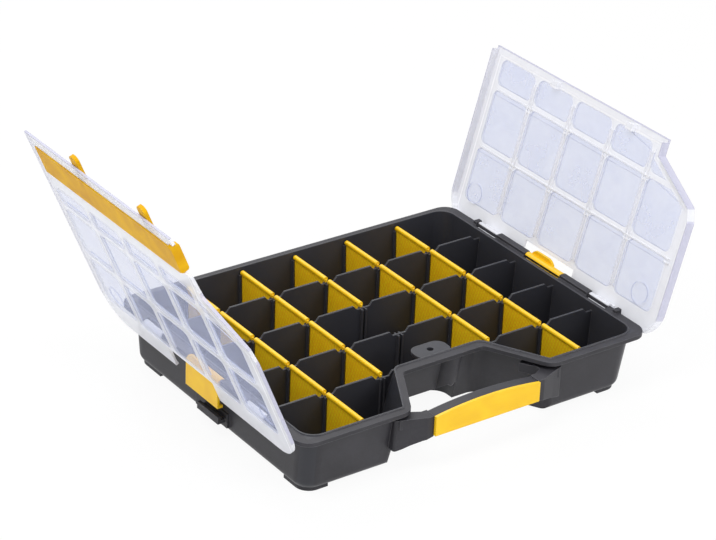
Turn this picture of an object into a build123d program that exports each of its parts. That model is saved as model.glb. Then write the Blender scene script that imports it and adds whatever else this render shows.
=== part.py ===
from build123d import *
import math
import os

os.makedirs("parts", exist_ok=True)

# Compartment storage box with both lids open, as photographed.
# x runs across the two hinges, y from the handle to the back, z up.
# The origin is on the tray's flat underside, midway between the hinges.

# Driving dimensions (mm)
COL_PITCH = 55.8          # compartment width
ROW_PITCH = 53.4          # compartment depth
COLUMNS = 6
ROWS = 5
WALL = 1.8                # tray wall, floor and row walls
FOOT_H = 2.0              # feet below the tray's flat underside
BODY_H = 54.7             # underside of the tray to the underside of its rim
RIM_T = 1.2
RIM_LIP_H = 0.8
RIM_LIP_W = 1.4
RIM_R = 14.5
CAVITY_R = 14.0           # inside corners of the tray at the rim
SKIRT_T = 1.6
SKIRT_H = 2.6
SIDE_FLANGE = 10.1        # rim width beyond the inside of the tray
BACK_FLANGE = 6.9
FRONT_FLANGE = 8.5
SIDE_DRAFT = 2.7          # how far each wall leans in between rim and floor
BACK_DRAFT = 3.0
FRONT_DRAFT = 7.6
BASE_R = 9.0              # rounding round the base, outside and inside
BASE_R_IN = 7.2
FOOT_INSET = 3.3

RECESS_HALF_X = 44.5      # hand recess in the front, at the rim's inner lip
RECESS_MOUTH_X = 75.7
RECESS_FLANGE_SIDE = 7.0
RECESS_FLANGE_BACK = 9.7
RECESS_DRAFT = 12.0       # the recess is this much wider at the base
RECESS_R = 9.0
MOUTH_R = 6.0
FLANGE_MOUTH_R = 14.0
SCOOP_HALF_X = 27.0
SCOOP_R = 15.0
SCOOP_H = 23.2
SCOOP_RUN = 31.5
COLUMN_X = 16.0           # half-round column in the back of the recess
COLUMN_R = 11.0
COLUMN_OUT = 7.5
COLUMN_LOW = 11.5

ROW_WALL_DIP = 4.0        # row walls are this much lower at the divider slots
DIP_HALF = 6.5
DIP_RAMP = 3.5
ROW_WALL_BELOW_RIM = 2.0

PLATE_T = 1.6             # dividers
SLOT_GAP = 0.4
BY_RECESS_R = 14.0        # lower corner of the dividers beside the recess
POST_W = 1.5
POST_OUT = 2.5
BEAD_W = 4.2
BEAD_H = 4.0
BEAD_R = 1.8
BEAD_GAP = 1.65

AXIS_DROP = 2.4           # hinge axis below the rim's top
PIN_R = 2.0
PIN_FIT = 0.08
CLIP_R = 3.8
CLIP_A = (66.5, 94.8)     # lid clips along y
CLIP_B = (-88.6, -63.1)
LATCH_Y = (-24.1, 24.6)
WINDOW_MARGIN = 0.6
BAR_INNER = 4.0           # hinge bars, inboard and outboard of the axis
BAR_OUTER = 2.3
BAR_UP = 4.3
END_LUG = 4.5
FRONT_LUG_Y = (-102.0, -97.5)

LID_T = 2.0
LID_RISE = 6.6            # axis up to the inside of a closed lid
LEFT_SKIRT = 0.8
RIGHT_SKIRT = 6.3
LID_SKIRT_T = 1.6
LEFT_OUT = 10.2           # lids beyond their hinge axes
RIGHT_OUT = 8.2
LID_Y_OUT = 3.0
LEFT_R = 30.0
RIGHT_R = 27.0
MEET_X = 19.9             # the lids meet off centre
MEET_GAP = 1.0
LEFT_OPEN = 113.0
RIGHT_OPEN = 105.6
LEFT_CORNER_Y = -78.0     # front of the left lid at its free edge
LID_NOTCH_Y = (-28.0, 39.5)
LEFT_NOTCH = 10.5         # lid notches, inboard of the hinge axis
RIGHT_NOTCH = 9.5
RIB_W = 1.4
RIB_H = 1.2
RIB_PAIR = 4.0

STRIP_X = (-17.5, 9.5)    # latch slider on the left lid
STRIP_FRONT = -74.0
STRIP_T = 1.0
STRIP_FIT = 0.05
SLIDE = 6.0
THUMB_T = 5.0
THUMB_DROP = 6.8
THUMB_PROUD = 1.2
THUMB_ASIDE = 2.5         # thumb block nearer the free edge than the strip
THUMB_FIT = 0.8
THUMB_R = 2.5
FINGER_W = 10.5
FINGER_T = 3.4
FINGER_REACH = 9.0
FINGER_R = 4.5
FINGER_Y = (66.5, -36.5)
FINGER_FIT = 0.5
STEM_X = (-1.0, 2.5)
STEM_FIT = 0.08
LEDGE_T = 1.3
LEDGE_LEN = 5.0

SIDE_LATCH_R = 4.35
SIDE_LATCH_LEN = 22.5
SIDE_LATCH_T = 2.2
SIDE_LATCH_HOOK = 3.2
LATCH_TAB_Y = (-8.0, 22.5)
LATCH_TAB_H = 8.0
LATCH_TAB_R = 7.9

HOOK_Y = (-19.0, 13.0)    # stacking hooks low on the sides
HOOK_Z = (13.0, 19.5)
HOOK_T = 3.2
HOOK_BASE_T = 6.0
HOOK_BASE_Y = (-21.0, 27.0)
HOOK_BASE_Z = (8.0, 21.0)

GRIP_HALF = 53.5
GRIP_T = 2.6
GRIP_LIP = 2.2            # grip under the bar
GRIP_FRONT = 8.1          # front of the grip beyond the rim
GRIP_DEPTH = 8.6
GRIP_CROWN = 4.2
GRIP_TOP = 48.0
PEG_R = 3.0
PEG_LEN = 4.0
PEG_FIT = 0.05
PEG_X = 36.0
BAR_Z = (32.2, 46.8)
BAR_CROWN = 4.0
ARM_Z = (8.0, 48.2)
ARM_UNDER = ((92, 18.5), (85, 19.5), (79.5, 21), (72, 24), (63, 27), (53.5, 29))
BAR_BACK = 5.6            # back of the bar inside the rim's front edge
LEDGE_Z = (39.5, 48.0)    # arm carried on along the side of the recess
LEDGE_Y = (-110.5, -140.0)
LEDGE_W = 7.5

# Derived sizes
HALF_X = COLUMNS / 2 * COL_PITCH
BACK_LINE = 0.51 * ROWS * ROW_PITCH
Z_FLOOR = WALL
Z_RIM_UNDER = BODY_H
Z_RIM = Z_RIM_UNDER + RIM_T
Z_LIP = Z_RIM + RIM_LIP_H
INNER_BACK = BACK_LINE - WALL / 2
INNER_FRONT = BACK_LINE - ROWS * ROW_PITCH - 2.5
RIM_X = HALF_X + SIDE_FLANGE
RIM_BACK = INNER_BACK + BACK_FLANGE
RIM_FRONT = INNER_FRONT - FRONT_FLANGE
AXIS_X = RIM_X
AXIS_Z = Z_LIP - AXIS_DROP
RECESS_BACK = BACK_LINE - (ROWS - 1) * ROW_PITCH + 0.3
RECESS_SLOPE = (RECESS_MOUTH_X - RECESS_HALF_X) / (RECESS_BACK - INNER_FRONT)
WALL_TOP = Z_LIP - ROW_WALL_BELOW_RIM - 0.8
BEAD_TOP = WALL_TOP
SLOT_W = PLATE_T + 2 * SLOT_GAP
LID_IN = AXIS_Z + LID_RISE
LID_TOP = LID_IN + LID_T
LID_BACK = RIM_BACK + LID_Y_OUT
LID_FRONT = RIM_FRONT - LID_Y_OUT
LID_MID_FRONT = RECESS_BACK - RECESS_FLANGE_BACK - 4.0
FINGER_TOP = LID_IN - FINGER_FIT
FINGER_Z = (FINGER_TOP - FINGER_T, FINGER_TOP)
GRIP_Y = RIM_FRONT - GRIP_FRONT


def box(x, y, z):
    """Solid between pairs of x, y and z values."""
    size = (abs(x[1] - x[0]), abs(y[1] - y[0]), abs(z[1] - z[0]))
    middle = ((x[0] + x[1]) / 2, (y[0] + y[1]) / 2, (z[0] + z[1]) / 2)
    return Pos(*middle) * Box(*size)


def plan(half_x, front, back, radius):
    """Rounded rectangle between two y lines."""
    return Pos(0, (front + back) / 2) * RectangleRounded(2 * half_x, back - front, radius)


def prism(sketch, low, high):
    """Upright solid on a plan sketch."""
    return extrude(Pos(0, 0, low) * sketch, amount=high - low, dir=(0, 0, 1))


def tapered(lower, low, upper, high):
    """Solid between two plan sketches."""
    return loft([(Pos(0, 0, low) * lower).face(), (Pos(0, 0, high) * upper).face()])


def profile_x(points, x):
    """Solid with a (y, z) outline between two x values."""
    face = make_face(Polyline(*[(x[0], y, z) for y, z in points], close=True))
    return extrude(face, amount=x[1] - x[0], dir=(1, 0, 0))


def profile_y(points, y):
    """Solid with an (x, z) outline between two y values."""
    face = make_face(Polyline(*[(x, y[0], z) for x, z in points], close=True))
    return extrude(face, amount=y[1] - y[0], dir=(0, 1, 0))


def tube_y(centre, outer, inner, y):
    """Ring about a line along y."""
    middle = Pos(centre[0], (y[0] + y[1]) / 2, centre[1]) * Rot(90, 0, 0)
    ring = middle * Cylinder(outer, y[1] - y[0])
    return ring - middle * Cylinder(inner, y[1] - y[0] + 1)


def recess_plan(side, back, radius, front, mouth):
    """Plan of the hand recess and all that lies in front of a line.

    side and back set it in from its lip line."""
    y_back = RECESS_BACK - back
    shift = side * math.hypot(1, RECESS_SLOPE)
    x_back = RECESS_HALF_X + RECESS_SLOPE * back - shift
    x_front = RECESS_HALF_X + RECESS_SLOPE * (RECESS_BACK - front) - shift
    half = [(x_back, y_back), (x_front, front), (RIM_X + 40, front), (RIM_X + 40, front - 60)]
    corners = [(-x, y) for x, y in reversed(half)] + half
    face = make_face(Polyline(*corners, close=True))
    rear = face.vertices().filter_by(lambda v: v.Y > y_back - 1)
    face = fillet(rear, radius)
    turn = face.vertices().filter_by(lambda v: abs(v.Y - front) < 0.5 and abs(v.X) < RIM_X + 30)
    return fillet(turn, mouth)


def recess_void(wall, radius, clear, mouth):
    """Space of the recess, wider at the base; clear is how far it opens past the front wall."""
    def at(z):
        lean = RECESS_DRAFT * (1 - z / Z_RIM_UNDER)
        front = INNER_FRONT - WALL + FRONT_DRAFT * (1 - z / Z_RIM_UNDER) - clear
        return recess_plan(wall - lean, wall - lean, radius + lean / 2, front, mouth)
    low = -1
    high = Z_RIM_UNDER + 1
    return tapered(at(low), low, at(high), high)


def cavity():
    """Inside of the tray, open at the top and kept clear of the recess."""
    low = plan(HALF_X - SIDE_DRAFT, INNER_FRONT + FRONT_DRAFT, INNER_BACK - BACK_DRAFT, CAVITY_R)
    high = plan(HALF_X, INNER_FRONT, INNER_BACK, CAVITY_R)
    inside = tapered(low, Z_FLOOR, high, Z_RIM)
    inside = fillet(inside.faces().sort_by(Axis.Z)[0].edges(), BASE_R_IN)
    inside += prism(high, Z_RIM, Z_RIM + 10)
    inside -= recess_void(0, RECESS_R + 1, 25, 1)
    return inside - prism(recess_plan(0, 0, RECESS_R + 1, INNER_FRONT - 25, 1), Z_RIM_UNDER, Z_RIM + 20)


def scoop(offset, low):
    """Wedge under the back of the recess, where fingers reach through."""
    y_wall = RECESS_BACK - WALL
    slope = SCOOP_H / SCOOP_RUN
    lift = offset * math.hypot(1, slope)
    points = [
        (y_wall, low),
        (y_wall, SCOOP_H + lift),
        (y_wall + SCOOP_RUN + lift / slope, 0),
        (y_wall + SCOOP_RUN + lift / slope, low),
    ]
    half = SCOOP_HALF_X + offset
    end = y_wall + SCOOP_RUN + 1.4 + offset
    reach = plan(half, RECESS_BACK - 40, end, SCOOP_R + offset)
    return profile_x(points, (-half, half)) & prism(reach, low - 1, Z_RIM)


def leaning_column(radius, low):
    """Round column that leans with the back wall of the recess."""
    def at(z):
        lean = RECESS_DRAFT * (1 - z / Z_RIM_UNDER)
        return Pos(COLUMN_X, RECESS_BACK - WALL - COLUMN_OUT + COLUMN_R + lean) * Circle(radius)
    return tapered(at(low), low, at(Z_RIM_UNDER), Z_RIM_UNDER)


def column_x(column):
    return (column - COLUMNS / 2) * COL_PITCH


def wall_y(row):
    return BACK_LINE - row * ROW_PITCH


def cell_faces(row):
    """Back and front wall faces of a row, each as (y at the rim, y at the floor)."""
    back = (wall_y(row - 1) - WALL / 2,) * 2
    front = (wall_y(row) + WALL / 2,) * 2
    if row == 1:
        back = (INNER_BACK, INNER_BACK - BACK_DRAFT)
    if row == ROWS:
        front = (INNER_FRONT, INNER_FRONT + FRONT_DRAFT)
    return back, front


def row_wall(row):
    """Wall between two rows, with a low place at each divider column."""
    low = WALL_TOP - ROW_WALL_DIP
    top = []
    for column in range(COLUMNS + 1):
        x = column_x(column)
        top += [
            (x - DIP_HALF - DIP_RAMP, WALL_TOP),
            (x - DIP_HALF, low),
            (x + DIP_HALF, low),
            (x + DIP_HALF + DIP_RAMP, WALL_TOP),
        ]
    top = [p for p in top if -HALF_X - 1 < p[0] < HALF_X + 1]
    outline = [(-HALF_X - 5, 0), (-HALF_X - 5, low)] + top
    outline += [(HALF_X + 5, low), (HALF_X + 5, 0)]
    y = wall_y(row)
    return profile_y(outline, (y - WALL / 2, y + WALL / 2))


def slot_posts(x, face, toward, height):
    """Pair of ribs that hold one end of a divider."""
    top_y = face[0]
    low_y = face[1]
    at_top = low_y + (top_y - low_y) * (height - Z_FLOOR) / (Z_RIM - Z_FLOOR)
    points = [
        (at_top - toward * 3, height),
        (low_y - toward * 3, 0),
        (low_y + toward * POST_OUT, 0),
        (at_top + toward * POST_OUT, height),
    ]
    left = profile_x(points, (x - SLOT_W / 2 - POST_W, x - SLOT_W / 2))
    right = profile_x(points, (x + SLOT_W / 2, x + SLOT_W / 2 + POST_W))
    return [left, right]


def slot_columns(row, at_front):
    """Divider columns that one side of a row has slots for."""
    columns = list(range(1, COLUMNS))
    if row == ROWS:
        return [columns[0], columns[-1]]
    if row == ROWS - 1 and at_front:
        return [c for c in columns if c != COLUMNS // 2]
    return columns


def inner_walls(inside):
    """Row walls and divider slots, trimmed to the inside of the tray."""
    height = BEAD_TOP - BEAD_H - 0.5
    pieces = []
    for row in range(1, ROWS):
        pieces.append(row_wall(row))
    for row in range(1, ROWS + 1):
        back, front = cell_faces(row)
        for column in slot_columns(row, False):
            pieces += slot_posts(column_x(column), back, -1, height)
        for column in slot_columns(row, True):
            pieces += slot_posts(column_x(column), front, 1, height)
    grown = Pos(0, 0, -WALL / 2) * inside + inside
    return grown & (pieces[0] + pieces[1:])


def rim():
    """Flange, its outer skirt and the thin lip round the opening."""
    outline = plan(RIM_X, RIM_FRONT, RIM_BACK, RIM_R)
    outline -= recess_plan(RECESS_FLANGE_SIDE, RECESS_FLANGE_BACK, 6, RIM_FRONT - 0.01, FLANGE_MOUTH_R)
    opening = plan(HALF_X, INNER_FRONT, INNER_BACK, CAVITY_R)
    opening -= recess_plan(0, 0, RECESS_R + 1, INNER_FRONT - 25, 1)
    flange = prism(outline, Z_RIM_UNDER, Z_RIM)
    skirt = prism(outline - offset(outline, -SKIRT_T), Z_RIM_UNDER - SKIRT_H, Z_RIM_UNDER)
    lip = prism(offset(opening, RIM_LIP_W) - opening, Z_RIM, Z_LIP)
    return flange + skirt + (lip & prism(outline, 0, Z_LIP + 1))


def handle():
    """Carrying bar and its two arms, moulded with the tray."""
    y_root = RIM_FRONT + 4
    y_bar = GRIP_Y + GRIP_T
    outer = [
        (-86, y_root + 18), (-86, y_root), (-74, RIM_FRONT), (-60, y_bar),
        (60, y_bar), (74, RIM_FRONT), (86, y_root), (86, y_root + 18),
    ]
    inner = [
        (-67, y_root + 20), (-67, y_root + 6), (-59, RIM_FRONT + BAR_BACK),
        (59, RIM_FRONT + BAR_BACK), (67, y_root + 6), (67, y_root + 20),
    ]
    band = make_face(Polyline(*outer, close=True)) - make_face(Polyline(*inner, close=True))
    bends = band.vertices().filter_by(lambda v: v.Y < y_root + 1 and abs(v.X) > 58)
    band = fillet(bends, 3)
    solid = prism(band, ARM_Z[0], ARM_Z[1] + BAR_CROWN + 2)
    under = [(-x, z) for x, z in ARM_UNDER] + [(-GRIP_HALF, BAR_Z[0]), (GRIP_HALF, BAR_Z[0])]
    under += [(x, z) for x, z in reversed(ARM_UNDER)] + [(100, 0), (-100, 0)]
    span = (GRIP_Y - 5, RIM_FRONT + 40)
    solid -= profile_y(under, span)
    crown = ThreePointArc((-GRIP_HALF, BAR_Z[1]), (0, BAR_Z[1] + BAR_CROWN), (GRIP_HALF, BAR_Z[1]))
    sides = Polyline((GRIP_HALF, BAR_Z[1]), (GRIP_HALF, ARM_Z[1]), (100, ARM_Z[1]), (100, 80),
                     (-100, 80), (-100, ARM_Z[1]), (-GRIP_HALF, ARM_Z[1]), (-GRIP_HALF, BAR_Z[1]))
    solid -= extrude(Plane.XZ.offset(-span[0]) * make_face(crown + sides), amount=-(span[1] - span[0]))
    for x in (-PEG_X, PEG_X):
        solid -= Pos(x, y_bar, (BAR_Z[0] + BAR_Z[1]) / 2) * Rot(90, 0, 0) * Cylinder(PEG_R + PEG_FIT, 2 * PEG_LEN + 1)
    wall_x = [RECESS_HALF_X + RECESS_SLOPE * (RECESS_BACK - y) + 3 for y in LEDGE_Y]
    ledge = [(wall_x[0], LEDGE_Y[0]), (wall_x[0] - LEDGE_W, LEDGE_Y[0] - 4),
             (wall_x[1] - LEDGE_W, LEDGE_Y[1]), (wall_x[1], LEDGE_Y[1])]
    shelf = prism(make_face(Polyline(*ledge, close=True)), LEDGE_Z[0], LEDGE_Z[1])
    return solid + shelf + mirror(shelf, Plane.YZ)


def boss():
    """Rounded tab with a hole behind the recess."""
    tab = Pos(0, RECESS_BACK + 8) * RectangleRounded(34, 22, 9)
    return prism(tab, Z_RIM_UNDER - 2, Z_RIM)


def hinge_side():
    """Hinge bars and pins of the right side, with the stacking hook below."""
    x = (AXIS_X - BAR_INNER, AXIS_X + BAR_OUTER)
    z = (Z_RIM_UNDER - SKIRT_H, AXIS_Z + BAR_UP)
    m = WINDOW_MARGIN
    spans = [
        (CLIP_A[1] + m, CLIP_A[1] + m + END_LUG),
        (LATCH_Y[1] + m, CLIP_A[0] - m),
        (CLIP_B[1] + m, LATCH_Y[0] - m),
        FRONT_LUG_Y,
    ]
    solid = box(x, spans[0], z)
    for span in spans[1:]:
        solid += box(x, span, z)
    y = (FRONT_LUG_Y[0] + END_LUG / 2, CLIP_A[1] + END_LUG / 2)
    solid += Pos(AXIS_X, (y[0] + y[1]) / 2, AXIS_Z) * Rot(90, 0, 0) * Cylinder(PIN_R, y[1] - y[0])
    return solid


def stack_hook():
    """Hook low on the right wall that another box's side latch would catch."""
    x_wall = HALF_X - SIDE_DRAFT - 0.5
    base = box((x_wall, x_wall + HOOK_BASE_T), HOOK_BASE_Y, HOOK_BASE_Z)
    x_tip = AXIS_X + 0.3
    arm = box((x_wall, x_tip), HOOK_Y, (HOOK_Z[0], HOOK_Z[0] + HOOK_T))
    nose = box((x_tip - HOOK_T, x_tip), HOOK_Y, HOOK_Z)
    return base + arm + nose


def tray():
    """The black moulding: walls, rim, recess, handle bar, hinge pins and feet."""
    inside = cavity() - scoop(WALL, -1)
    inside += leaning_column(COLUMN_R - WALL, SCOOP_H)
    low = plan(HALF_X - SIDE_DRAFT + WALL, INNER_FRONT + FRONT_DRAFT - WALL,
               INNER_BACK - BACK_DRAFT + WALL, CAVITY_R + WALL)
    high = plan(HALF_X + WALL, INNER_FRONT - WALL, INNER_BACK + WALL, CAVITY_R + WALL)
    solid = tapered(low, 0, high, Z_RIM_UNDER)
    solid = fillet(solid.faces().sort_by(Axis.Z)[0].edges(), BASE_R)
    solid -= recess_void(WALL, RECESS_R, 0.02, MOUTH_R)
    solid += rim()
    solid += handle()
    solid += leaning_column(COLUMN_R, COLUMN_LOW)
    hook = stack_hook()
    solid += hook + mirror(hook, Plane.YZ)
    solid -= inside
    solid += inner_walls(inside)
    solid += boss()
    solid -= Pos(0, RECESS_BACK + 9, Z_RIM) * Cylinder(3, 24)
    solid -= scoop(0, -1)
    side = hinge_side()
    z_cut = (Z_RIM_UNDER - SKIRT_H - 1, Z_LIP + 10)
    for y in (CLIP_A, CLIP_B, LATCH_Y):
        span = (y[0] - WINDOW_MARGIN, y[1] + WINDOW_MARGIN)
        cut = box((AXIS_X - 6, AXIS_X + 6), span, z_cut)
        solid -= cut
        solid -= mirror(cut, Plane.YZ)
    solid += side
    solid += mirror(side, Plane.YZ)
    foot_zone = Rectangle(400, 400) - Rectangle(280, 400) - Rectangle(400, 190)
    solid += prism(offset(low, -FOOT_INSET) & foot_zone, -FOOT_H, 3)
    return solid


def grip():
    """Yellow plate on the front of the carrying bar, with a lip under it and two pegs."""
    x = (-GRIP_HALF, GRIP_HALF)
    low = BAR_Z[0] - GRIP_LIP
    crown = ThreePointArc((x[0], GRIP_TOP), (0, GRIP_TOP + GRIP_CROWN), (x[1], GRIP_TOP))
    rest = Polyline((x[1], GRIP_TOP), (x[1], low), (x[0], low), (x[0], GRIP_TOP))
    solid = extrude(Plane.XZ.offset(-GRIP_Y) * make_face(crown + rest), amount=-GRIP_T)
    solid += box(x, (GRIP_Y, GRIP_Y + GRIP_DEPTH), (low, BAR_Z[0]))
    for x_peg in (-PEG_X, PEG_X):
        peg = Pos(x_peg, GRIP_Y + GRIP_T + PEG_LEN / 2 - 0.5, (BAR_Z[0] + BAR_Z[1]) / 2)
        solid += peg * Rot(90, 0, 0) * Cylinder(PEG_R, PEG_LEN + 1)
    return solid


def divider(row, column):
    """Removable plate with a thick rounded top bead."""
    x = column_x(column)
    back, front = cell_faces(row)
    z_top = BEAD_TOP - BEAD_H / 2

    def at(face, z):
        return face[1] + (face[0] - face[1]) * (z - Z_FLOOR) / (Z_RIM - Z_FLOOR)

    points = [
        (at(back, z_top) - SLOT_GAP, z_top), (at(back, Z_FLOOR) - SLOT_GAP, Z_FLOOR),
        (at(front, Z_FLOOR) + SLOT_GAP, Z_FLOOR), (at(front, z_top) + SLOT_GAP, z_top),
    ]
    shoulder = BEAD_TOP - BEAD_H
    outline = make_face(Polyline(*[(x - PLATE_T / 2, y, z) for y, z in points], close=True))
    rounded = []
    if row == 1:
        rounded += outline.vertices().filter_by(lambda v: v.Z < Z_FLOOR + 1).sort_by(Axis.Y)[-1:]
    by_recess = row == ROWS - 1 and abs(column - COLUMNS / 2) == 1
    if row == ROWS or by_recess:
        rounded += outline.vertices().filter_by(lambda v: v.Z < Z_FLOOR + 1).sort_by(Axis.Y)[:1]
    if rounded:
        outline = fillet(rounded, BY_RECESS_R if by_recess else BASE_R_IN + SLOT_GAP)
    solid = extrude(outline, amount=PLATE_T, dir=(1, 0, 0))
    y = (wall_y(row) + WALL / 2 + BEAD_GAP, wall_y(row - 1) - WALL / 2 - BEAD_GAP)
    section = Plane.XZ.offset(-y[0]) * Pos(x, (shoulder + BEAD_TOP) / 2)
    section *= RectangleRounded(BEAD_W, BEAD_H, BEAD_R)
    return solid + extrude(section, amount=-(y[1] - y[0]))


def lid_plan(side):
    """Plan of a closed lid; side is 1 for the right lid and -1 for the left."""
    x_free = side * (MEET_X + side * MEET_GAP / 2)
    x_out = AXIS_X + (RIGHT_OUT if side > 0 else LEFT_OUT)
    line = RECESS_HALF_X + RECESS_SLOPE * (RECESS_BACK - LID_MID_FRONT)
    x_mid = line - 14.5 * math.hypot(1, RECESS_SLOPE)
    x_low = x_mid + RECESS_SLOPE * (LID_MID_FRONT - LID_FRONT - 5)
    points = [
        (x_free, LID_BACK), (x_out, LID_BACK), (x_out, LID_FRONT),
        (RECESS_MOUTH_X, LID_FRONT), (x_low, LID_FRONT + 5), (x_mid, LID_MID_FRONT),
        (x_free, LID_MID_FRONT if side > 0 else LEFT_CORNER_Y),
    ]
    face = make_face(Polyline(*points, close=True))
    radius = RIGHT_R if side > 0 else LEFT_R
    face = fillet(face.vertices().filter_by(lambda v: v.X > x_out - 1), radius)
    bends = face.vertices().filter_by(lambda v: abs(v.X - x_low) < 2 or abs(v.X - RECESS_MOUTH_X) < 2)
    face = fillet(bends, 5)
    if side < 0:
        face = mirror(face, Plane.YZ)
    return face


def lid_shell(side):
    """Closed lid: plate, skirt, ribs and hinge clips, hinge on the side's outer end."""
    outline = lid_plan(side)
    x_free = MEET_X + side * MEET_GAP / 2
    plate = prism(outline, LID_IN, LID_TOP)
    depth = RIGHT_SKIRT if side > 0 else LEFT_SKIRT
    skirt = prism(outline - offset(outline, -LID_SKIRT_T), LID_IN - depth, LID_IN)
    skirt -= box((x_free - 3, x_free + 3), (-200, 200), (0, 200))
    lid = plate + skirt
    length = side * (side * AXIS_X - x_free)
    columns = (66.2, 122.0, 177.8) if side < 0 else (62.4, 117.7)
    z = (LID_IN - RIB_H, LID_IN)
    reach = 195.0 if side < 0 else 149.0
    for row in range(1, ROWS):
        end = min(reach, 141.0 if side < 0 or row < ROWS - 1 else 141.0)
        for shift in (-RIB_PAIR / 2, RIB_PAIR / 2):
            y = wall_y(row) + shift
            x = sorted((side * (AXIS_X - 17), side * (AXIS_X - end)))
            lid += box(x, (y - RIB_W / 2, y + RIB_W / 2), z)
    for column in columns:
        if column > length - 25:
            continue
        for shift in (-RIB_PAIR / 2, RIB_PAIR / 2):
            x = side * (AXIS_X - column) + shift
            front = LID_FRONT + 12 if abs(x) > RECESS_MOUTH_X else LID_MID_FRONT + 8
            lid += box((x - RIB_W / 2, x + RIB_W / 2), (front, LID_BACK - 14), z)
    for x, y in ((21.8, 119.9), (24.6, -111.8)):
        centre = Pos(side * (AXIS_X - x), y, LID_IN - RIB_H / 2)
        lid += centre * (Cylinder(10.4, RIB_H) - Cylinder(9.2, RIB_H + 1))
    reach_in = RIGHT_NOTCH if side > 0 else LEFT_NOTCH
    notch = sorted((side * (AXIS_X - reach_in), side * (AXIS_X + 30)))
    lid -= box(notch, LID_NOTCH_Y, (0, 200))
    for y in (CLIP_A, CLIP_B):
        x = side * AXIS_X
        web = box((x - 1.6, x + 1.6), y, (AXIS_Z + PIN_R + 0.6, LID_IN))
        clip = tube_y((x, AXIS_Z), CLIP_R, PIN_R + PIN_FIT, y)
        mouth = [(x, AXIS_Z), (x - 5, AXIS_Z - 6), (x + 5, AXIS_Z - 6)]
        lid += clip - profile_y(mouth, (y[0] - 1, y[1] + 1)) + web
    return lid


def opened(shape, side, angle):
    """Turn a closed lid or its slider open about its hinge axis."""
    axis = Axis((side * AXIS_X, 0, AXIS_Z), (0, side, 0))
    return shape.rotate(axis, angle)


def finger_span(index):
    y = FINGER_Y[index]
    return (y - FINGER_W / 2, y + FINGER_W / 2)


def thumb_span():
    return (STRIP_X[0] + THUMB_ASIDE, STRIP_X[1] + THUMB_ASIDE)


def left_lid():
    """Wider lid; slots let the slider's stems through, and its thumb block has a notch."""
    lid = lid_shell(-1)
    x = (thumb_span()[0] - THUMB_FIT, thumb_span()[1] + THUMB_FIT)
    lid -= box(x, (LID_FRONT, STRIP_FRONT + THUMB_FIT), (LID_IN - 10, LID_TOP + 1))
    for index in (0, 1):
        y = finger_span(index)
        x = (STEM_X[0] - STEM_FIT, STEM_X[1] + STEM_FIT)
        lid -= box(x, (y[0] - SLIDE - 0.5, y[1] + 0.5), (LID_IN - 10, LID_TOP + 1))
    return opened(lid, -1, LEFT_OPEN)


def right_lid():
    """Narrower lid, with ledges that the slider's fingers run over."""
    lid = lid_shell(1)
    x = (MEET_X + MEET_GAP / 2 + 2, MEET_X + FINGER_REACH)
    for index in (0, 1):
        y = finger_span(index)[0] - 0.5
        z_ledge = FINGER_Z[0] - FINGER_FIT
        ledge = box(x, (y - LEDGE_LEN - 2, y), (z_ledge - LEDGE_T, z_ledge))
        post = box(x, (y - LEDGE_LEN - 3.5, y - LEDGE_LEN - 1), (z_ledge - LEDGE_T, LID_IN))
        lid += ledge + post
    return opened(lid, 1, RIGHT_OPEN)


def latch_slider():
    """Yellow strip on the left lid, with a thumb block and two fingers."""
    z = (LID_TOP + STRIP_FIT, LID_TOP + STRIP_FIT + STRIP_T)
    solid = box(STRIP_X, (STRIP_FRONT, LID_BACK - 12), z)
    thumb_x = thumb_span()
    thumb_z = (z[1] - THUMB_DROP, z[1] + THUMB_PROUD)
    section = Plane.XZ.offset(-STRIP_FRONT) * Pos(sum(thumb_x) / 2, sum(thumb_z) / 2)
    section *= RectangleRounded(thumb_x[1] - thumb_x[0], thumb_z[1] - thumb_z[0], THUMB_R)
    solid += extrude(section, amount=THUMB_T)
    for index in (0, 1):
        y = finger_span(index)
        solid += box(STEM_X, y, (FINGER_Z[1] - 1, z[0] + 0.5))
        tip = MEET_X + FINGER_REACH - 0.5
        root = STEM_X[0] - 4
        flat = make_face(Polyline((root, y[0]), (tip, y[0]), (tip, y[1]), (root, y[1]), close=True))
        flat = fillet(flat.vertices().filter_by(lambda v: v.X > tip - 0.1), FINGER_R)
        solid += prism(flat, *FINGER_Z)
    return opened(solid, -1, LEFT_OPEN)


def side_latch(side):
    """Yellow stacking latch hanging from the hinge pin."""
    ring = tube_y((AXIS_X, AXIS_Z), SIDE_LATCH_R, PIN_R + PIN_FIT, LATCH_Y)
    mouth = [(AXIS_X, AXIS_Z), (AXIS_X - 6, AXIS_Z - 5), (AXIS_X - 6, AXIS_Z + 4)]
    ring -= profile_y(mouth, (LATCH_Y[0] - 1, LATCH_Y[1] + 1))
    x = (AXIS_X + SIDE_LATCH_R - SIDE_LATCH_T, AXIS_X + SIDE_LATCH_R)
    low = AXIS_Z - SIDE_LATCH_LEN
    leaf = box(x, LATCH_Y, (low, AXIS_Z))
    lip = box((x[0] - SIDE_LATCH_HOOK, x[1]), LATCH_Y, (low, low + SIDE_LATCH_T))
    tab_y = (LATCH_TAB_Y[0] + LATCH_TAB_Y[1]) / 2
    tab_size = (LATCH_TAB_Y[1] - LATCH_TAB_Y[0], 2 * LATCH_TAB_H)
    tab = Plane.YZ.offset(x[0]) * Pos(tab_y, AXIS_Z) * RectangleRounded(*tab_size, LATCH_TAB_R)
    solid = ring + leaf + lip + extrude(tab, amount=SIDE_LATCH_T)
    return solid if side > 0 else mirror(solid, Plane.YZ)


def divider_columns(row):
    """Columns that hold a divider in the photographed layout."""
    columns = list(range(1, COLUMNS))
    if row == ROWS:
        return [columns[0], columns[-1]]
    if row >= 3:
        return [c for c in columns if c != COLUMNS // 2]
    return columns


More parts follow.
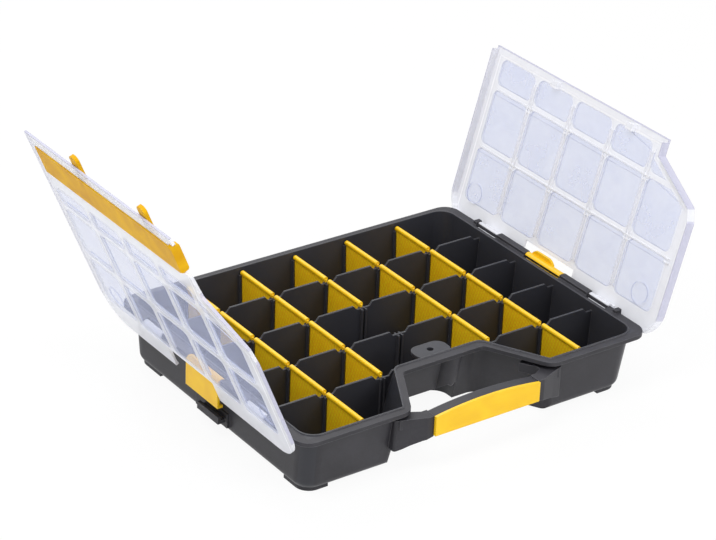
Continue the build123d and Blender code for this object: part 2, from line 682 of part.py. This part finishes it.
export_step(tray(), "parts/tray.step")
export_step(grip(), "parts/handle_grip.step")
export_step(left_lid(), "parts/left_lid.step")
export_step(right_lid(), "parts/right_lid.step")
export_step(latch_slider(), "parts/latch_slider.step")
export_step(side_latch(-1), "parts/side_latch_left.step")
export_step(side_latch(1), "parts/side_latch_right.step")
for row in range(1, ROWS + 1):
    for column in divider_columns(row):
        export_step(divider(row, column), f"parts/divider_r{row}c{column}.step")
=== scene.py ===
import math

import bpy
import numpy as np
from mathutils import Matrix, Vector


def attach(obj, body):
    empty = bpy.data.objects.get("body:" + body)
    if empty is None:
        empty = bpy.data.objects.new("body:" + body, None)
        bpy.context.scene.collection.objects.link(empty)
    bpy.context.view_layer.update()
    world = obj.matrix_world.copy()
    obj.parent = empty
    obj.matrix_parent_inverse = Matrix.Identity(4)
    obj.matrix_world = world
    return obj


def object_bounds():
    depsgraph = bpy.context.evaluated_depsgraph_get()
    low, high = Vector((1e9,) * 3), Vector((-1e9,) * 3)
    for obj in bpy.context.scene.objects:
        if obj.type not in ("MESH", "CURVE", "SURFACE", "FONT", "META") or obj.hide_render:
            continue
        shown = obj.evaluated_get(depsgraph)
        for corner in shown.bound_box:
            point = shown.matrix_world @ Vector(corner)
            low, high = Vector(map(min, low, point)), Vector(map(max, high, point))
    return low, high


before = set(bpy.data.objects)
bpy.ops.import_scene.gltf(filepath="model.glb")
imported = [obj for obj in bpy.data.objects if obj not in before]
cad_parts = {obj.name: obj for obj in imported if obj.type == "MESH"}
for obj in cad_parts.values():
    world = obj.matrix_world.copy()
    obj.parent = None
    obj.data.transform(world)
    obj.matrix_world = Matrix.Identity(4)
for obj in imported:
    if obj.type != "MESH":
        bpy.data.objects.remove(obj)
cad_box = [list(corner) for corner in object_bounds()]

# Box: the sizes that several sections share, in millimetres and degrees.
# The origin is on the tray's flat underside, and y runs away from the grip.

PER_METRE = 1000               # millimetres
COLUMN = 55.8                  # pitch of the compartments across the box
ROW = 53.4                     # and from front to back
ROWS = 5
ROW_MIDDLE = 2.7               # y of the middle row
SLANT = 0.555                  # slope of the slanted edges beside the hand recess
LID_HINGE = (177.5, 54.3)      # beside the middle, and above the underside
RUBBED_YELLOW = (0.98, 0.72, 0.10, 1)
GLOSSY_YELLOW = ((0.90, 0.53, 0.004, 1), (0.96, 0.60, 0.007, 1))

# Tray: one black polypropylene moulding with its walls, rim, carrying bar
# and hinge pins. The mould is polished inside the compartments and
# spark-eroded outside. Its edges are painted paler: partly wear from
# handling, partly a painted highlight along the rims and wall tops.

WALL_TOP = 54.7
SIDE_WALL = (168.3, 2.7)       # inside at the top, and the lean inwards at the base
BACK_WALL = (136.2, 3.0)
FRONT_WALL = (134.2, 7.6)
RECESS_BACK = (78.0, 12.0)     # back of the hand recess, the same way
RECESS_SIDE = (43.5, 13.7)     # its slanted sides, where they leave the back
RECESS_CORNER_Y = -77.1
MID_FLOOR = 0.9                # half way through the floor
OUTER_BLACK = ((0.027, 0.026, 0.031, 1), (0.042, 0.041, 0.048, 1))
INNER_BLACK = ((0.030, 0.031, 0.038, 1), (0.040, 0.041, 0.050, 1))
# paler edge colour: part wear, part painted highlight along the rims and wall tops
EDGE_WEAR_AND_HIGHLIGHT_BLACK = (0.19, 0.19, 0.21, 1)


class Maths:
    """A shader socket whose operators add Math nodes to the tree in hand."""

    tree = None

    def __init__(self, socket):
        self.socket = socket

    @classmethod
    def node(cls, kind, settings=None, output=0, **sockets):
        """Any node: its settings first, then values or links for its sockets."""
        made = cls.tree.nodes.new("ShaderNode" + kind)
        for name, value in (settings or {}).items():
            setattr(made, name, value)
        for name, value in sockets.items():
            key = int(name[1:]) if name[0] == "n" else name.replace("_", " ")
            if isinstance(value, Maths):
                cls.tree.links.new(value.socket, made.inputs[key])
            else:
                made.inputs[key].default_value = value
        return cls(made.outputs[output])

    @classmethod
    def sum(cls, operation, *values):
        """One Math node."""
        return cls.node("Math", {"operation": operation}, **{f"n{i}": v for i, v in enumerate(values)})

    def __add__(self, other):
        return Maths.sum("ADD", self, other)

    __radd__ = __add__

    def __mul__(self, other):
        return Maths.sum("MULTIPLY", self, other)

    __rmul__ = __mul__

    def __sub__(self, other):
        return Maths.sum("SUBTRACT", self, other)

    def __rsub__(self, other):
        return Maths.sum("SUBTRACT", other, self)

    def __pow__(self, other):
        return Maths.sum("POWER", self, other)

    def __abs__(self):
        return Maths.sum("ABSOLUTE", self)

    def least(self, other):
        return Maths.sum("MINIMUM", self, other)

    def most(self, other):
        return Maths.sum("MAXIMUM", self, other)

    def between(self, low, high):
        """0 below low, 1 above high, straight between."""
        return Maths.node("MapRange", n0=self, n1=low, n2=high)

    def mix(self, first, second):
        """Colour that goes from first to second as this goes from 0 to 1."""
        return Maths.node("Mix", {"data_type": "RGBA"}, output=2, n0=self, n6=first, n7=second)

    def into(self, socket):
        """Feed another node's input."""
        Maths.tree.links.new(self.socket, socket)


def plastic(name, roughness, **constants):
    """New Principled material; returns it and its shader's sockets."""
    material = bpy.data.materials.new(name)
    material.use_nodes = True
    Maths.tree = material.node_tree
    sockets = material.node_tree.nodes["Principled BSDF"].inputs
    sockets["Roughness"].default_value = roughness
    for key, value in constants.items():
        sockets[key.replace("_", " ")].default_value = value
    return material, sockets


def place_of(turn=(0, 0, 0), shift=(0, 0, 0)):
    """Object coordinates in millimetres as x, y and z, turned and then shifted."""
    vector = Maths.node("TexCoord", output="Object")
    scale = (PER_METRE, PER_METRE, PER_METRE)
    vector = Maths.node("Mapping", Vector=vector, Scale=scale, Rotation=turn, Location=shift)
    xyz = Maths.tree.nodes.new("ShaderNodeSeparateXYZ")
    Maths.tree.links.new(vector.socket, xyz.inputs[0])
    return vector, Maths(xyz.outputs[0]), Maths(xyz.outputs[1]), Maths(xyz.outputs[2])


def edge_mask(radius):
    """Rounded normal, and how far it turns from the flat one: 0 on faces, 1 on edges."""
    rounded = Maths.node("Bevel", {"samples": 6}, Radius=radius / PER_METRE)
    flat = Maths.node("NewGeometry", output="Normal")
    along = Maths.node("VectorMath", {"operation": "DOT_PRODUCT"}, output="Value", n0=rounded, n1=flat)
    return rounded, (1 - along).between(0.01, 0.16)


def dress(node, material):
    """Put one material on the whole of a CAD node."""
    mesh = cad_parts[node].data
    mesh.materials.clear()
    mesh.materials.append(material)
    mesh.polygons.foreach_set("material_index", np.zeros(len(mesh.polygons), np.int32))


def inside_tray(x, y, z):
    """1 on the compartments' side of the walls and floor, 0 outside.

    Each wall is a plane that leans in from its top to the base, and the hand recess is cut
    out by its back and slanted sides. The least distance to all of them decides."""
    lean = 1 - z * (1 / WALL_TOP)
    side = SIDE_WALL[0] - SIDE_WALL[1] * lean - abs(x)
    back = BACK_WALL[0] - BACK_WALL[1] * lean - y
    front = y + FRONT_WALL[0] - FRONT_WALL[1] * lean
    recess_back = y + RECESS_BACK[0] - RECESS_BACK[1] * lean
    recess_side = abs(x) - RECESS_SIDE[0] + SLANT * (y - RECESS_CORNER_Y) - RECESS_SIDE[1] * lean
    walls = side.least(back).least(front).least(recess_back.most(recess_side))
    return walls.least(z - MID_FLOOR).between(-0.2, 0.2)


black, into = plastic("black_polypropylene", 0.4, Specular_IOR_Level=0.32)
spot, x, y, z = place_of()
inside = inside_tray(x, y, z)
cloud = Maths.node("TexNoise", Vector=spot, Scale=0.028, Detail=3.0)
grain = Maths.node("TexNoise", Vector=spot, Scale=2.4, Detail=2.0)
scratches = Maths.node("TexNoise", Vector=spot, Scale=0.25, Detail=5.0, Roughness=0.7, Distortion=1.5)
rounded, edge = edge_mask(0.9)
outer = (cloud + 0.5 * scratches).between(0.55, 0.95).mix(*OUTER_BLACK)
body = inside.mix(outer, cloud.mix(*INNER_BLACK))
# painted highlight and wear: edges lightened, half as much inside the compartments
edge_wear_and_highlight = edge * (0.25 + 0.55 * scratches) * (1 - 0.5 * inside)
edge_wear_and_highlight.mix(body, EDGE_WEAR_AND_HIGHLIGHT_BLACK).into(into["Base Color"])
(0.40 + 0.12 * cloud - 0.15 * inside + 0.06 * scratches).into(into["Roughness"])
bump = Maths.node("Bump", Strength=0.2, Distance=0.0003, Height=grain * (1 - 0.8 * inside), Normal=rounded)
bump.into(into["Normal"])
dress("tray", black)

# Grip: a yellow polypropylene plate pressed on the front of the carrying
# bar by two pegs, with a lip under the bar. It is glossy, with faint flow
# marks from the mould and a slightly rubbed outline.


def yellow_plastic(name, colours, roughness, specular=0.4):
    """Yellow moulding: flow marks between two colours, rubbed paler at the edges."""
    material, into = plastic(name, roughness, Specular_IOR_Level=specular)
    spot = place_of()[0]
    flow = Maths.node("TexNoise", Vector=spot, Scale=0.045, Detail=3.0, Distortion=0.6)
    fine = Maths.node("TexNoise", Vector=spot, Scale=1.1, Detail=2.0)
    rounded, edge = edge_mask(0.6)
    body = flow.between(0.3, 0.7).mix(*colours)
    (0.35 * edge).mix(body, RUBBED_YELLOW).into(into["Base Color"])
    (roughness + 0.12 * flow + 0.05 * fine).into(into["Roughness"])
    Maths.node("Bump", Strength=0.06, Distance=0.0002, Height=fine, Normal=rounded).into(into["Normal"])
    return material


dress("handle_grip", yellow_plastic("grip_yellow", GLOSSY_YELLOW, 0.26))

# Dividers: thin yellow polypropylene plates with a thick rounded bead on
# top, slid between the tray's ribs. Their faces carry the fine cross
# pattern of the mould and look amber; the beads are smooth and bright.

BEAD_FOOT = (49.6, 50.1)       # z where a face turns into its bead
CROSS_HALF = (1.6, 2.2)        # half the pitch of the pattern's steep and flat lines
CROSS_LEAN = (0.35, 0.6)
AMBER = ((0.95, 0.47, 0.004, 1), (1, 0.72, 0.010, 1))

divider_yellow, into = plastic("divider_yellow", 0.32, Specular_IOR_Level=0.4)
spot, x, y, z = place_of()
bead = z.between(*BEAD_FOOT)
flow = Maths.node("TexNoise", Vector=spot, Scale=0.05, Detail=3.0)
across = Maths.sum("PINGPONG", y + CROSS_LEAN[0] * z, CROSS_HALF[0])
down = Maths.sum("PINGPONG", z - CROSS_LEAN[1] * y, CROSS_HALF[1])
blotch = Maths.node("TexNoise", Vector=spot, Scale=0.3, Detail=3.0, Distortion=1.0)
cross = across.least(down).between(0.15, 0.6) * (0.5 + 0.5 * blotch.between(0.35, 0.55))
rounded, edge = edge_mask(0.6)
face = (0.8 * cross + 0.2 * flow).mix(*AMBER)
top = flow.between(0.3, 0.7).mix(*GLOSSY_YELLOW)
(0.3 * edge).mix(bead.mix(face, top), RUBBED_YELLOW).into(into["Base Color"])
(0.42 - 0.14 * bead + 0.08 * flow).into(into["Roughness"])
height = cross * (1 - bead)
Maths.node("Bump", Strength=0.35, Distance=0.0003, Height=height, Normal=rounded).into(into["Normal"])
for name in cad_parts:
    if name.startswith("divider"):
        dress(name, divider_yellow)

# Lids: clear polypropylene, clipped on the tray's hinge pins. Smooth
# raised panels lie over the compartments, and the bands between them are
# frosted, with a fine line on either side.

LIDS = {                       # side, degrees open, reach of the last band and of the free edge
    "left_lid": (-1, 113.0, 146.0, 196.9),
    "right_lid": (1, 105.6, 151.0, 157.1),
}
FIRST_BAND = 10.1              # reach of the band beside the hinge
BAND = 2.6                     # half of a band's width
PANEL_R = 6.0
PANELS_ACROSS = 3
LID_HALF_Y = 145.0
LID_MIDDLE_Y = 0.2
SLANT_START = (142.0, -90.8)   # reach and y where the slanted front edge begins
SLANT_FRAME = 10.5             # from that edge to the panels
LINE_INSET = 7.0               # from the lid's outline to the pale line inside it
SQUARE_ON = 1 / math.hypot(1, SLANT)
BAND_TINT = (0.94, 0.95, 1, 1)
PANEL_TINT = (0.56, 0.62, 0.88, 1)
LINE_TINT = (0.97, 0.97, 1, 1)
RIM_TINT = (0.60, 0.60, 0.74, 1)


def clear_lid(name, side, opened, last_band, free_edge):
    """Clear plastic drawn in the closed lid's own plane.

    The place is turned back about the hinge, so that reach runs from the hinge to the free
    edge and y along it. A panel is where the distance to the nearest band, taken round a
    corner as the root of two squares, stays under the corner's radius."""
    material, into = plastic(name, 0.2, IOR=1.46, Specular_IOR_Level=0.2)
    angle = -side * math.radians(opened)
    x0 = side * LID_HINGE[0]
    z0 = LID_HINGE[1]
    shift = (-(x0 * math.cos(angle) + z0 * math.sin(angle)), 0, x0 * math.sin(angle) - z0 * math.cos(angle))
    spot, x, y, height = place_of((0, angle, 0), shift)
    reach = -side * x
    between_columns = Maths.sum("PINGPONG", reach - FIRST_BAND, COLUMN / 2)
    between_rows = Maths.sum("PINGPONG", y - ROW_MIDDLE - ROW / 2, ROW / 2)
    near_x = between_columns.least(reach - FIRST_BAND).least(last_band - reach)
    near_y = between_rows.least(ROWS * ROW / 2 - abs(y - ROW_MIDDLE))
    past_corner = y - SLANT_START[1]
    front = (((SLANT_START[0] - reach) + SLANT * past_corner) * SQUARE_ON).most(past_corner)
    corner_x = (PANEL_R + BAND - near_x).most(0)
    corner_y = (PANEL_R + BAND - near_y).most(0)
    outline = ((corner_x * corner_x + corner_y * corner_y) ** 0.5 - PANEL_R).most(SLANT_FRAME - front)
    panel = 1 - outline.between(-0.3, 0.3)
    inset = (free_edge - reach).least(LID_HALF_Y - abs(y - LID_MIDDLE_Y)).least(front)
    frame_line = 1 - abs(inset - LINE_INSET).between(0.4, 1.0)
    rim = 1 - inset.between(0.6, 1.0)
    haze = Maths.node("TexNoise", Vector=spot, Scale=0.03, Detail=4.0, Roughness=0.6)
    streaks = Maths.node("TexNoise", Vector=spot, Scale=0.35, Detail=3.0, Distortion=0.8)
    rounded, worn = edge_mask(0.5)
    tone = (0.7 * frame_line).mix(panel.mix(BAND_TINT, PANEL_TINT), LINE_TINT)
    rim.mix(tone, RIM_TINT).into(into["Base Color"])
    solid = 0.64 - 0.33 * panel + 0.15 * frame_line + 0.2 * (haze - 0.5) + 0.1 * worn
    solid.most(0.8 * rim).into(into["Alpha"])
    (0.3 - 0.16 * panel + 0.1 * haze + 0.04 * streaks).into(into["Roughness"])
    relief = 0.7 * panel + 0.05 * streaks
    Maths.node("Bump", Strength=0.25, Distance=0.0005, Height=relief, Normal=rounded).into(into["Normal"])
    return material


for name, lid in LIDS.items():
    dress(name, clear_lid(name + "_clear", *lid))

# Panel ridges: each lid panel is outlined by a low rounded ridge, moulded
# with the lid on its outer face. It is frosted, so it reads as a fine
# pale line on both sides of a band.

RIDGE = (0.55, 0.35)           # half width, and height
RIDGE_POINTS = (48, 8)         # round a panel, and round the ridge's section
LID_TOP = 8.6                  # outer face above the hinge
FROST = ((0.86, 0.87, 0.97, 1), (0.95, 0.96, 1, 1))

ridge_frost, into = plastic("ridge_frost", 0.4, IOR=1.46, Alpha=0.7)
haze = Maths.node("TexNoise", Vector=place_of()[0], Scale=0.2, Detail=3.0)
haze.mix(*FROST).into(into["Base Color"])
(0.3 + 0.2 * haze).into(into["Roughness"])


def panel_ridges(node, side, opened, last_band):
    """Ridges round the panels of one lid.

    A ridge's path is a circle whose quarters are moved apart into a rounded rectangle, cut
    back where the lid's front corner slants; its section is an ellipse half sunk in the lid."""
    lows = FIRST_BAND + BAND + COLUMN * np.arange(PANELS_ACROSS)
    spans = [(low, min(low + COLUMN, last_band + BAND) - 2 * BAND) for low in lows]
    rows = ROW_MIDDLE + ROW * (np.arange(ROWS) - ROWS // 2)
    panels = [(low, high, row) for row in rows for low, high in spans
              if row > rows[0] or high < SLANT_START[0]]
    low, high, row = np.array(panels).T[:, :, None, None]
    turn = (np.arange(RIDGE_POINTS[0]) + 0.5)[None, :, None] * 2 * math.pi / RIDGE_POINTS[0]
    ring = np.arange(RIDGE_POINTS[1])[None, None, :] * 2 * math.pi / RIDGE_POINTS[1]
    out = RIDGE[0] * np.cos(ring)
    reach = (low + high) / 2 + np.sign(np.cos(turn)) * ((high - low) / 2 - PANEL_R) + PANEL_R * np.cos(turn)
    along = row + np.sign(np.sin(turn)) * (ROW / 2 - BAND - PANEL_R) + PANEL_R * np.sin(turn)
    slant = SLANT_START[0] - SLANT_FRAME / SQUARE_ON + SLANT * (along - SLANT_START[1])
    reach = np.minimum(reach, slant) + out * np.cos(turn)
    along = along + out * np.sin(turn)
    reach, along, height = np.broadcast_arrays(reach, along, LID_TOP + RIDGE[1] * np.sin(ring))
    angle = math.radians(opened)
    x = side * (LID_HINGE[0] - reach * math.cos(angle) + height * math.sin(angle))
    z = LID_HINGE[1] + reach * math.sin(angle) + height * math.cos(angle)
    points = np.stack([x, along, z], axis=-1) / PER_METRE
    index = np.arange(x.size).reshape(x.shape)
    after = np.roll(index, -1, axis=1)
    quads = np.stack([index, after, np.roll(after, -1, axis=2), np.roll(index, -1, axis=2)], axis=-1)
    quads = quads.reshape(-1, 4)[:, ::-side]
    name = node.replace("lid", "panel_ridges")
    mesh = bpy.data.meshes.new(name)
    mesh.from_pydata(points.reshape(-1, 3).tolist(), [], quads.tolist())
    mesh.polygons.foreach_set("use_smooth", np.ones(len(quads), bool))
    mesh.materials.append(ridge_frost)
    piece = bpy.data.objects.new(name, mesh)
    bpy.context.scene.collection.objects.link(piece)
    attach(piece, node)


for name, (side, opened, last_band, _) in LIDS.items():
    panel_ridges(name, side, opened, last_band)

# Latch slider: a yellow strip that slides along the left lid, with a thumb
# block at the front and two fingers that reach under the right lid. It is
# the grip's yellow with painted shade, deeper and duller than the grip's.

# painted shade: the grip's yellow darkened towards orange for the strip
SLIDER_SHADED_YELLOW = ((0.68, 0.34, 0.003, 1), (0.84, 0.48, 0.004, 1))

dress("latch_slider", yellow_plastic("slider_painted_shade_yellow", SLIDER_SHADED_YELLOW, 0.4, specular=0.12))

# Side latches: small yellow mouldings snapped on the hinge pins, with a
# tab above the pin and a leaf that hooks the box below when stacked.

LATCH_YELLOW = ((0.90, 0.52, 0.004, 1), (0.96, 0.59, 0.007, 1))

latch_yellow = yellow_plastic("latch_yellow", LATCH_YELLOW, 0.27)
for name in ("side_latch_left", "side_latch_right"):
    dress(name, latch_yellow)

# Studio: a white floor without a horizon and a plain white surround. The
# floor shows white to the camera and keeps a faint shadow.

LAMPS = {                      # place and width in metres, and watts
    "key": ((0.9, -1.9, 1.4), 1.3, 20),
    "fill": ((-1.0, -0.4, 2.2), 1.0, 31),
    "back": ((0.4, 1.7, 1.6), 1.2, 14),
}
LAMP_AIM = (0, 0, 0.05)
SHADOWLESS = 0.93              # share of the floor that glows white
AMBIENT = 0.5                  # light of the surround on matt faces
FLOOR_X = (-3, 3)              # metres
FLOOR_Y = (-3, 4)
CAMERA_AIM = (0.09265, 0.16463, 0.0)
CAMERA_RANGE = 2.4674          # metres
CAMERA_TURN = (-36.25, 27.71, 2.43)    # azimuth, elevation and roll
CAMERA_LENS = 134.2            # mm

white, into = plastic("studio_white", 0.9, Specular_IOR_Level=0.1, Base_Color=(0.9, 0.9, 0.9, 1))


def seen_directly():
    """1 for camera, glossy and transmission rays."""
    kinds = ("Camera", "Glossy", "Transmission")
    camera, glossy, transmission = (Maths.node("LightPath", output=f"Is {kind} Ray") for kind in kinds)
    return camera.most(glossy).most(transmission)


glow = Maths.node("Emission", Color=(1, 1, 1, 1), Strength=1.0)
shader = Maths.tree.nodes["Principled BSDF"].outputs[0]
blend = Maths.node("MixShader", n0=SHADOWLESS * seen_directly(), n1=Maths(shader), n2=glow)
blend.into(Maths.tree.nodes["Material Output"].inputs["Surface"])

u, v = np.meshgrid(np.linspace(*FLOOR_X, 13), np.linspace(*FLOOR_Y, 15), indexing="ij")
points = np.stack([u, v, np.full_like(u, cad_box[0][2])], axis=-1).reshape(-1, 3)
index = np.arange(u.size).reshape(u.shape)
quads = np.stack([index[:-1, :-1], index[1:, :-1], index[1:, 1:], index[:-1, 1:]], axis=-1).reshape(-1, 4)
mesh = bpy.data.meshes.new("floor")
mesh.from_pydata(points.tolist(), [], quads.tolist())
mesh.materials.append(white)
floor = bpy.data.objects.new("floor", mesh)
bpy.context.scene.collection.objects.link(floor)

world = bpy.data.worlds.new("studio")
bpy.context.scene.world = world
world.use_nodes = True
Maths.tree = world.node_tree
surround = world.node_tree.nodes["Background"].inputs
surround["Color"].default_value = (1, 1, 1, 1)
(AMBIENT + (1 - AMBIENT) * seen_directly()).into(surround["Strength"])


def lamp(name, place, size, watts):
    """Square area lamp that faces the middle of the box."""
    data = bpy.data.lights.new(name, "AREA")
    data.size = size
    data.energy = watts
    thing = bpy.data.objects.new(name, data)
    bpy.context.scene.collection.objects.link(thing)
    aim = Vector(LAMP_AIM) - Vector(place)
    thing.matrix_world = Matrix.Translation(place) @ aim.to_track_quat("-Z", "Y").to_matrix().to_4x4()


for name, (place, size, watts) in LAMPS.items():
    lamp(name, place, size, watts)

camera_data = bpy.data.cameras.new("camera")
camera_data.sensor_width = 36.0
camera_data.lens = CAMERA_LENS
camera_data.clip_end = 50
camera = bpy.data.objects.new("camera", camera_data)
bpy.context.scene.collection.objects.link(camera)
azimuth, elevation, roll = (math.radians(degrees) for degrees in CAMERA_TURN)
level = math.cos(elevation)
away = Vector((math.sin(azimuth) * level, -math.cos(azimuth) * level, math.sin(elevation)))
across = Vector((0, 0, 1)).cross(away).normalized()
upward = away.cross(across)
right = across * math.cos(roll) + upward * math.sin(roll)
top = upward * math.cos(roll) - across * math.sin(roll)
stand = Vector(CAMERA_AIM) + away * CAMERA_RANGE
camera.matrix_world = Matrix.Translation(stand) @ Matrix((right, top, away)).transposed().to_4x4()
bpy.context.scene.camera = camera
bpy.context.scene.view_settings.view_transform = "Standard"
